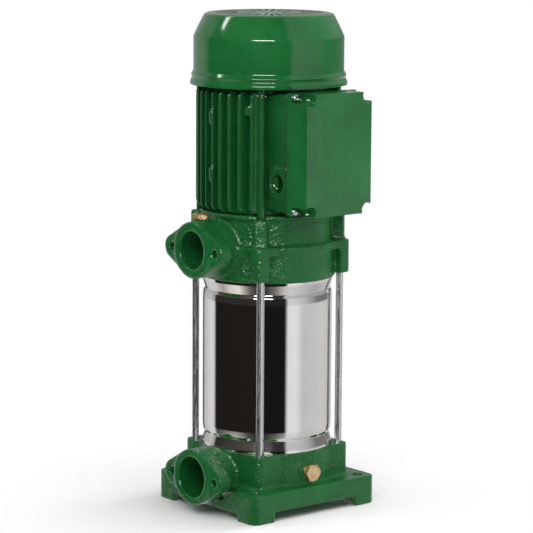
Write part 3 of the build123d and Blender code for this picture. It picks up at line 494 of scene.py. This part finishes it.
# %% [markdown]
# Large soft lamps give the plain light that shows the colour, and are left out of reflections because the
# screens are already there. Two small bright ones do the opposite: they are only seen in reflections, and
# give the crisp highlights on the shoulder of the fan cover and the sparkle on the rough castings.
# %% Lamps
LAMP_DISTANCE = 2.2
LAMP_AIM = Vector((0, 0, 0.3))


def lamp(name, azimuth, elevation, width, height, power, mirrored):
    """A rectangular lamp at a compass direction, aimed at the middle of the pump."""
    data = bpy.data.lights.new(name, "AREA")
    data.shape = "RECTANGLE"
    data.size = width
    data.size_y = height
    data.energy = power
    light = bpy.data.objects.new(name, data)
    bpy.context.scene.collection.objects.link(light)
    light.visible_glossy = mirrored
    light.visible_diffuse = not mirrored
    a, e = math.radians(azimuth), math.radians(elevation)
    away = Vector((math.cos(a) * math.cos(e), math.sin(a) * math.cos(e), math.sin(e))) * LAMP_DISTANCE
    light.location = LAMP_AIM + away
    light.rotation_euler = away.to_track_quat("Z", "Y").to_euler()


lamp("soft_front", -50.0, 35.0, 1.4, 0.9, 22.0, False)
lamp("soft_left", -122.0, 35.0, 1.0, 0.9, 11.0, False)
lamp("soft_right", 78.0, 18.0, 0.9, 0.9, 36.0, False)
lamp("soft_top", -10.0, 75.0, 1.4, 1.4, 16.0, False)
lamp("glint_front", -47.0, 21.0, 1.20, 0.50, 50.0, True)
lamp("glint_left", -129.0, 47.5, 0.20, 0.74, 6.0, True)
print("lamps ready")

# %% [markdown]
# The floor is one pale sheet. Near the pump it is an ordinary surface that takes the soft shadow. Further
# out it fades to plain white for the camera only, so no horizon shows and no extra light falls on the pump.
# %% Floor
FLOOR_HALF = 12.0
FADE_FROM = 0.10
FADE_TO = 0.34
bm = bmesh.new()
bmesh.ops.create_grid(bm, x_segments=8, y_segments=8, size=FLOOR_HALF)
floor = from_bmesh("floor", bm)
floor.visible_glossy = False
sheet, tree, shader = new_finish("floor_sheet", (0.87, 0.87, 0.87), 0.9)
place = add(tree, "ShaderNodeTexCoord")
reach = add(tree, "ShaderNodeVectorMath", {0: place.outputs["Object"]}, operation="LENGTH")
fade = add(tree, "ShaderNodeMapRange", {
    "Value": reach.outputs["Value"], "From Min": FADE_FROM, "From Max": FADE_TO},
    interpolation_type="SMOOTHSTEP")
ray = add(tree, "ShaderNodeLightPath")
only_camera = sum_of(tree, "MULTIPLY", fade.outputs["Result"], ray.outputs["Is Camera Ray"])
white = add(tree, "ShaderNodeEmission")
mix = add(tree, "ShaderNodeMixShader", {
    "Fac": only_camera, 1: shader.outputs["BSDF"], 2: white.outputs["Emission"]})
tree.links.new(mix.outputs["Shader"], tree.nodes["Material Output"].inputs["Surface"])
floor.data.materials.append(sheet)
print("floor ready")

# %% [markdown]
# The base, the discharge head and the motor frame are castings: every edge is rounded where sand or die
# filled the mould. The solids have sharp edges. A voxel remesh of a merged copy turns each into one even
# skin of small squares, a few rounds of smoothing soften all edges at once, and a noise sinks the skin a
# little for the sand. Small pads cast on the cooling fins are laid in as blocks before the remesh, which
# melts them into the fins. The frame has many fins, so a Decimate modifier takes out faces it can spare.
# %% Cast skins
SAND_SCALE = 210.0
FIN_PADS = [((-0.6, -79.0, 439.0), (6.0, 5.0, 14.0)), ((-0.6, -79.0, 376.5), (6.0, 5.0, 14.0)),
            ((44.0, -66.5, 449.0), (3.5, 5.0, 10.0))]


def cast_skin(name, node, voxel_mm, rounds, relief_mm, slot, pads=(), thin=1.0):
    """A remeshed and smoothed copy of a solid with a sandy relief, which stands for it."""
    bm = copy_of_solid(node)
    for middle, size in pads:
        place = Matrix.Translation(Vector(middle) * MM) @ Matrix.Diagonal((*(v * MM for v in size), 1.0))
        bmesh.ops.create_cube(bm, size=1.0, matrix=place)
    mesh = bpy.data.meshes.new(name)
    bm.to_mesh(mesh)
    bm.free()
    draft = put(name + "_draft", mesh)
    skin = draft.modifiers.new("skin", "REMESH")
    skin.mode = "VOXEL"
    skin.voxel_size = voxel_mm * MM
    skin.use_smooth_shade = True
    soft = draft.modifiers.new("soft", "SMOOTH")
    soft.factor = 0.5
    soft.iterations = rounds
    if thin < 1.0:
        fewer = draft.modifiers.new("fewer", "DECIMATE")
        fewer.ratio = thin
    piece = plain_mesh(draft, name)
    outward = [point.normal.copy() for point in piece.data.vertices]
    sunk = []
    for point, normal in zip(piece.data.vertices, outward):
        dent = 0.5 + 0.5 * sand.noise(point.co * SAND_SCALE)
        sunk.extend(point.co - normal * (dent * relief_mm * MM))
    piece.data.vertices.foreach_set("co", sunk)
    piece.data.update()
    piece.data.shade_smooth()
    piece.data.materials.clear()
    piece.data.materials.append(finishes[slot])
    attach(piece, "pump")
    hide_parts(node)
    count = sum(len(p.vertices) - 2 for p in piece.data.polygons)
    print(name, "triangles:", count)


cast_skin("cast_base", "suction_body", 1.6, 3, 0.28, "casting_green")
cast_skin("cast_head", "discharge_head", 1.6, 3, 0.28, "casting_green")
cast_skin("cast_frame", "motor_frame", 1.5, 2, 0.06, "frame_green", FIN_PADS, 0.76)

# %% [markdown]
# The sleeve is one drawn tube with a rolled bead near each end. It is spun from a closed profile of a few
# corners, each rounded by its own radius, because its mirror finish would show every facet.
# %% Sleeve
SLEEVE_OUT = [
    (73.0, 66.2, 0), (73.0, 71.7, 4.0), (70.0, 82.2, 1.6), (71.8, 85.7, 2.5), (72.4, 92.7, 30.0),
    (72.4, 160.0, 0), (72.4, 235.0, 30.0), (71.8, 242.0, 2.5), (70.0, 245.5, 1.6), (73.0, 256.0, 4.0),
    (73.0, 261.5, 0),
]
SLEEVE_WALL = 1.5
sleeve_in = [(r - SLEEVE_WALL, z, q) for r, z, q in reversed(SLEEVE_OUT)]
sleeve = lathe("polished_sleeve", rounded(SLEEVE_OUT + sleeve_in, 8), 256, 40.0)
sleeve.data.materials.append(finishes["polished_steel"])
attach(sleeve, "pump")
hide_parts("pump_sleeve")
print("sleeve faces:", len(sleeve.data.polygons))

# %% [markdown]
# The fan cover is pressed from sheet. Its wall bends into a long cone with a very slight curve, the cone
# turns over into the flat top, and the lower rim rolls outwards over the end of the frame. The profile is
# spun as a closed loop, outside up and inside down.
# %% Fan cover
cover_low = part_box("fan_cover")[0][2] / MM
cover_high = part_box("fan_cover")[1][2] / MM
SHEET = 1.2
outside = [
    (86.9, cover_low, 0), (86.9, cover_low + 3.4, 2.2), (84.9, cover_low + 7.5, 2.0),
    (85.8, cover_low + 11.0, 1.5), (83.3, cover_low + 15.4, 3.0), (83.3, cover_high - 25.6, 6.0),
    (77.9, cover_high - 13.6, 600.0), (71.4, cover_high - 1.4, 2.2), (67.5, cover_high, 1.5),
]
inside = [(r - SHEET, min(z, cover_high - SHEET), q) for r, z, q in reversed(outside)]
loop = [(0, cover_high, 0)] + outside[::-1] + inside[::-1] + [(0, cover_high - SHEET, 0)]
shell = lathe("fan_cover_blank", rounded(loop, 6), 192)
print("cover from", cover_low, "to", cover_high)

# %% [markdown]
# Cooling air enters through slots in the top of the cover. They repeat by a rule: a ring of short slots
# inside a ring of long ones, all pointing at the centre. One slot is drawn as a rounded bar, a circle of
# points carries a copy of it at every point, each turned to face outwards, and a Boolean takes them all out
# of the sheet.
# %% Air slots
RINGS = [(16.0, 31.0, 16), (36.0, 61.0, 40)]
SLOT_WIDTH = 3.4
CUT_DEPTH = 3.0


def slot_tree(finish):
    """Radial slots on a circle, cut out of the mesh that goes in."""
    tree, inlet, outlet = new_tree("air_slots", {"Inner": 0.0, "Outer": 0.0, "Width": 0.0, "Count": 0,
                                                 "Top": 0.0, "Depth": 0.0})
    size = inlet.outputs
    length = sum_of(tree, "SUBTRACT", size["Outer"], size["Inner"])
    both = sum_of(tree, "ADD", size["Outer"], size["Inner"])
    middle = sum_of(tree, "MULTIPLY", both, 0.5)
    bar = add(tree, "GeometryNodeCurvePrimitiveQuadrilateral", {"Width": length, "Height": size["Width"]},
              mode="RECTANGLE")
    corner = sum_of(tree, "MULTIPLY", size["Width"], 0.48)
    soft = add(tree, "GeometryNodeFilletCurve", {"Curve": bar.outputs[0], "Radius": corner, "Count": 4},
               mode="POLY")
    low = add(tree, "ShaderNodeCombineXYZ", {"Z": sum_of(tree, "SUBTRACT", size["Top"], size["Depth"])})
    high = add(tree, "ShaderNodeCombineXYZ", {"Z": sum_of(tree, "ADD", size["Top"], size["Depth"])})
    post = add(tree, "GeometryNodeCurvePrimitiveLine", {"Start": low.outputs[0], "End": high.outputs[0]})
    cutter = add(tree, "GeometryNodeCurveToMesh", {
        "Curve": post.outputs[0], "Profile Curve": soft.outputs[0], "Fill Caps": True})
    ring = add(tree, "GeometryNodeMeshCircle", {"Vertices": size["Count"], "Radius": middle})
    place = add(tree, "GeometryNodeInputPosition")
    facing = add(tree, "FunctionNodeAlignRotationToVector", {"Vector": place.outputs[0]},
                 axis="X", pivot_axis="Z")
    copies = add(tree, "GeometryNodeInstanceOnPoints", {
        "Points": ring.outputs[0], "Instance": cutter.outputs[0], "Rotation": facing.outputs[0]})
    bars = add(tree, "GeometryNodeRealizeInstances", {"Geometry": copies.outputs[0]})
    cut = add(tree, "GeometryNodeMeshBoolean", {0: size["Geometry"], 1: bars.outputs[0]},
              operation="DIFFERENCE")
    finish_tree(tree, outlet, cut.outputs[0], finish)
    return tree


slots = slot_tree(finishes["cover_green"])
for slot_in, slot_out, count in RINGS:
    sizes = {"Inner": slot_in * MM, "Outer": slot_out * MM, "Width": SLOT_WIDTH * MM, "Count": count,
             "Top": cover_high * MM, "Depth": CUT_DEPTH * MM}
    shell = grow(shell, "fan_cover_shell", slots, sizes)
    print("ring of", count, "slots, faces:", len(shell.data.polygons))
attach(shell, "pump")
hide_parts("fan_cover")

# %% [markdown]
# The lid of the terminal box is a thin casting with a flat front, a shallow slope all round it and a notch
# at each screw. Its shape is right in the solid, but its edges are knife sharp. A copy gets a Bevel
# modifier, which rounds only the edges where two faces really meet at an angle, and weighted normals keep
# the flats looking flat.
# %% Lid
LID_EDGE = 1.2
SHARPER_THAN = 10.0


def softened(name, node, body, width_mm, finish):
    """A copy of a solid with its sharp edges rounded, which stands for it."""
    bm = copy_of_solid(node)
    bmesh.ops.dissolve_limit(bm, angle_limit=math.radians(1.0), verts=bm.verts, edges=bm.edges)
    mesh = bpy.data.meshes.new(name)
    bm.to_mesh(mesh)
    bm.free()
    mesh.shade_smooth()
    draft = put(name + "_draft", mesh)
    edge = draft.modifiers.new("soft_edges", "BEVEL")
    edge.width = width_mm * MM
    edge.segments = 3
    edge.limit_method = "ANGLE"
    edge.angle_limit = math.radians(SHARPER_THAN)
    flats = draft.modifiers.new("flats", "WEIGHTED_NORMAL")
    flats.weight = 80
    piece = plain_mesh(draft, name)
    piece.data.materials.clear()
    piece.data.materials.append(finishes[finish])
    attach(piece, body)
    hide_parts(node)
    print(name, "faces:", len(piece.data.polygons))


softened("box_lid", "terminal_box_cover", "box_lid", LID_EDGE, "cover_green")

# %% [markdown]
# Four zinc-plated pan head screws hold the lid. They are one shape in four places, so Geometry Nodes carry a
# single screw to the corners of a grid. The screw is a spun profile, and the cross for the driver is cut
# inside the tree.
# %% Lid screws
screws_box = [[v / MM for v in corner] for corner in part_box("cover_screws")]
HEAD_R = 3.7
HEAD_H = 2.9
HEAD_DOME = 0.3
SHANK_R = 2.0
SHANK_DEPTH = 5.5
SEAT_X = 94.0
CROSS_DEEP = 2.4
CROSS_LONG = 4.6
CROSS_THIN = 1.0
CROSS_TURN = 20.0


def corner_tree(name, finish):
    """A screw with its cross cut out, at the four corners of a rectangle that stands across X."""
    tree, inlet, outlet = new_tree(name, {"Across": 0.0, "Up": 0.0, "Place": (0.0, 0.0, 0.0)})
    size = inlet.outputs
    both = add(tree, "GeometryNodeJoinGeometry")
    for wide, tall in ((CROSS_LONG, CROSS_THIN), (CROSS_THIN, CROSS_LONG)):
        bar = add(tree, "GeometryNodeMeshCube", {"Size": (CROSS_DEEP * MM, wide * MM, tall * MM)})
        tree.links.new(bar.outputs[0], both.inputs[0])
    cross = add(tree, "GeometryNodeTransform", {
        "Geometry": both.outputs[0], "Translation": (HEAD_H * MM, 0, 0),
        "Rotation": (math.radians(CROSS_TURN), 0, 0)})
    screw = add(tree, "GeometryNodeMeshBoolean", {0: size["Geometry"], 1: cross.outputs[0]},
                operation="DIFFERENCE")
    grid = add(tree, "GeometryNodeMeshGrid", {
        "Size X": size["Up"], "Size Y": size["Across"], "Vertices X": 2, "Vertices Y": 2})
    upright = add(tree, "GeometryNodeTransform", {
        "Geometry": grid.outputs[0], "Translation": size["Place"], "Rotation": (0, math.radians(90.0), 0)})
    copies = add(tree, "GeometryNodeInstanceOnPoints", {
        "Points": upright.outputs[0], "Instance": screw.outputs[0]})
    finish_tree(tree, outlet, copies.outputs[0], finish)
    return tree


screw_outline = [(0, -SHANK_DEPTH, 0), (SHANK_R, -SHANK_DEPTH, 0), (SHANK_R, 0, 0), (HEAD_R, 0, 0),
                 (HEAD_R, HEAD_H, 1.6), (0, HEAD_H + HEAD_DOME, 0)]
blank = lathe("screw_blank", rounded(screw_outline, 5), 32)
blank.data.transform(Matrix.Rotation(math.radians(90.0), 4, "Y"))
screw_place = (SEAT_X * MM, 0.0, (screws_box[0][2] + screws_box[1][2]) / 2 * MM)
across = (screws_box[1][1] - screws_box[0][1] - 2 * HEAD_R) * MM
up = (screws_box[1][2] - screws_box[0][2] - 2 * HEAD_R) * MM
screws = grow(blank, "lid_screws", corner_tree("lid_screw_places", finishes["zinc_steel"]),
              {"Across": across, "Up": up, "Place": screw_place})
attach(screws, "box_lid")
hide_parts("cover_screws")
print("screws", round(across / MM, 2), "by", round(up / MM, 2), "mm apart, box", screws_box)

# %% [markdown]
# The two plugs are hexagon plugs turned from brass bar. What makes a hexagon look turned is the chamfer: a
# cone cuts the six corners, so each side ends in an arc. The shape is spun like a lathe part, but its radius
# follows the hexagon as it goes round, and the chamfer drops by how far the radius stands outside the cone.
# %% Plugs


def hex_reach(turn, flats):
    """Distance from the middle of a hexagon to its edge in the given direction."""
    return flats / 2 / math.cos(math.radians((math.degrees(turn) % 60.0) - 30.0))


def spun(name, rings, turns=72, crease=30.0):
    """Join rings whose radius and height may change as they go round. The list closes on itself."""
    bm = bmesh.new()
    loops = []
    for ring in rings:
        corners = []
        for k in range(turns):
            a = 2 * math.pi * k / turns
            r, z = ring(a)
            corners.append(bm.verts.new((r * math.cos(a) * MM, r * math.sin(a) * MM, z * MM)))
        loops.append(corners)
    for i, lower in enumerate(loops):
        upper = loops[(i + 1) % len(loops)]
        for k in range(turns):
            bm.faces.new((lower[k], lower[(k + 1) % turns], upper[(k + 1) % turns], upper[k]))
    return from_bmesh(name, bm, crease)


def circle(r, z):
    """A plain ring for spun."""
    return lambda turn: (r, z)


def hexagon(flats, z, cone, fall):
    """A six-sided ring whose corners fall below the cone's edge, or rise above it if fall is negative."""
    def ring(turn):
        reach = hex_reach(turn, flats)
        return reach, z - fall * max(0.0, reach - cone)
    return ring


def thread(r, start_z, end_z, pitch, depth):
    """Rings of two radii in turn, like the ridges of a screw thread."""
    rings = []
    count = int(abs(end_z - start_z) / (pitch / 2))
    for k in range(count + 1):
        z = start_z + (end_z - start_z) * k / count
        rings.append(circle(r - (depth if k % 2 else 0.0), z))
    return rings


PLUG_FLATS = 18.0
PLUG_R = 6.5
PLUG_SHANK = 13.0
PLUG_PITCH = 1.8
PLUG_THREAD = 0.8
PRIMING_HEAD = 4.4
DRAIN_HEAD = 6.6


def hex_plug(name, node, body, seat, head, turn):
    """A plug that stands on its seat with the shank below, turned into place by a matrix."""
    cone = PLUG_FLATS / 2 * 0.97
    rings = [circle(0, head - 0.25), circle(cone * 0.55, head - 0.2), circle(cone * 0.62, head),
             circle(cone, head), hexagon(PLUG_FLATS, head, cone, 0.55),
             hexagon(PLUG_FLATS, 0.25, cone, -0.35), circle(cone, 0.0), circle(PLUG_R, 0.0)]
    rings += thread(PLUG_R, -0.6, -PLUG_SHANK + 0.8, PLUG_PITCH, PLUG_THREAD)
    rings += [circle(PLUG_R - 1.2, -PLUG_SHANK), circle(0, -PLUG_SHANK)]
    piece = spun(name, rings)
    piece.data.transform(turn)
    piece.data.transform(Matrix.Translation(Vector(seat) * MM))
    piece.data.materials.append(finishes["plug_brass"])
    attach(piece, body)
    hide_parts(node)


Z_TO_X = Matrix(((0, 0, 1, 0), (1, 0, 0, 0), (0, 1, 0, 0), (0, 0, 0, 1)))
priming_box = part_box("priming_plug")
drain_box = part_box("drain_plug")
priming_top = priming_box[1][2] / MM
priming_y = (priming_box[0][1] + priming_box[1][1]) / 2 / MM
drain_end = drain_box[1][0] / MM
drain_z = (drain_box[0][2] + drain_box[1][2]) / 2 / MM
priming_seat = (0, priming_y, priming_top - PRIMING_HEAD)
drain_seat = (drain_end - DRAIN_HEAD, 0, drain_z)
hex_plug("brass_priming_plug", "priming_plug", "priming", priming_seat, PRIMING_HEAD, Matrix())
hex_plug("brass_drain_plug", "drain_plug", "drain", drain_seat, DRAIN_HEAD, Z_TO_X)

# %% [markdown]
# Four tie rods pull the head down onto the base. Each is a bright steel bar with a rolled thread at its
# lower end, where a nut and a washer hold it under the base plate. One rod and one nut are spun, and
# Geometry Nodes put both at the four corners of the square.
# %% Tie rods and nuts
ROD_THREAD = 26.0
ROD_PITCH = 1.25
ROD_RIDGE = 0.55
NUT_FLATS = 13.0


def square_tree(name, finish):
    """One upright shape at the four corners of a square."""
    tree, inlet, outlet = new_tree(name, {"Side": 0.0})
    size = inlet.outputs
    square = add(tree, "GeometryNodeMeshGrid", {
        "Size X": size["Side"], "Size Y": size["Side"], "Vertices X": 2, "Vertices Y": 2})
    copies = add(tree, "GeometryNodeInstanceOnPoints", {
        "Points": square.outputs[0], "Instance": size["Geometry"]})
    finish_tree(tree, outlet, copies.outputs[0], finish)
    return tree


rod_names = ["tie_rod_1", "tie_rod_2", "tie_rod_3", "tie_rod_4"]
rod_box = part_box("tie_rod_1")
rod_low = rod_box[0][2] / MM
rod_high = rod_box[1][2] / MM
rod_r = (rod_box[1][0] - rod_box[0][0]) / 2 / MM
rod_side = abs(rod_box[0][0] + rod_box[1][0])
rings = [circle(0, rod_low), circle(rod_r - 0.9, rod_low)]
rings += thread(rod_r, rod_low + 0.8, rod_low + ROD_THREAD, ROD_PITCH, ROD_RIDGE)
rings += [circle(rod_r, rod_low + ROD_THREAD + 1.0), circle(rod_r, rod_high - 1.0),
          circle(rod_r - 0.8, rod_high), circle(0, rod_high)]
rods = grow(spun("rod_blank", rings, 24), "tie_rods", square_tree("rod_places", finishes["rod_steel"]),
            {"Side": rod_side})
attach(rods, "pump")
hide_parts(*rod_names)
print("rods", round(rod_r, 2), "mm radius,", round(rod_side / MM, 2), "apart")

nut_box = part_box("tie_rod_nuts")
nut_low, nut_high = nut_box[0][2] / MM, nut_box[1][2] / MM
nut_cone = NUT_FLATS / 2 * 0.96
rings = [circle(rod_r + 0.05, nut_low + 0.5), circle(rod_r + 0.6, nut_low), circle(nut_cone, nut_low),
         hexagon(NUT_FLATS, nut_low, nut_cone, -0.5), hexagon(NUT_FLATS, nut_high, nut_cone, 0.5),
         circle(nut_cone, nut_high), circle(rod_r + 0.6, nut_high), circle(rod_r + 0.05, nut_high - 0.5)]
nuts = grow(spun("nut_blank", rings), "rod_nuts", square_tree("nut_places", finishes["zinc_steel"]),
            {"Side": rod_side})
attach(nuts, "pump")
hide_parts("tie_rod_nuts")
print("nuts from", round(nut_low, 2), "to", round(nut_high, 2), "box", nut_box)
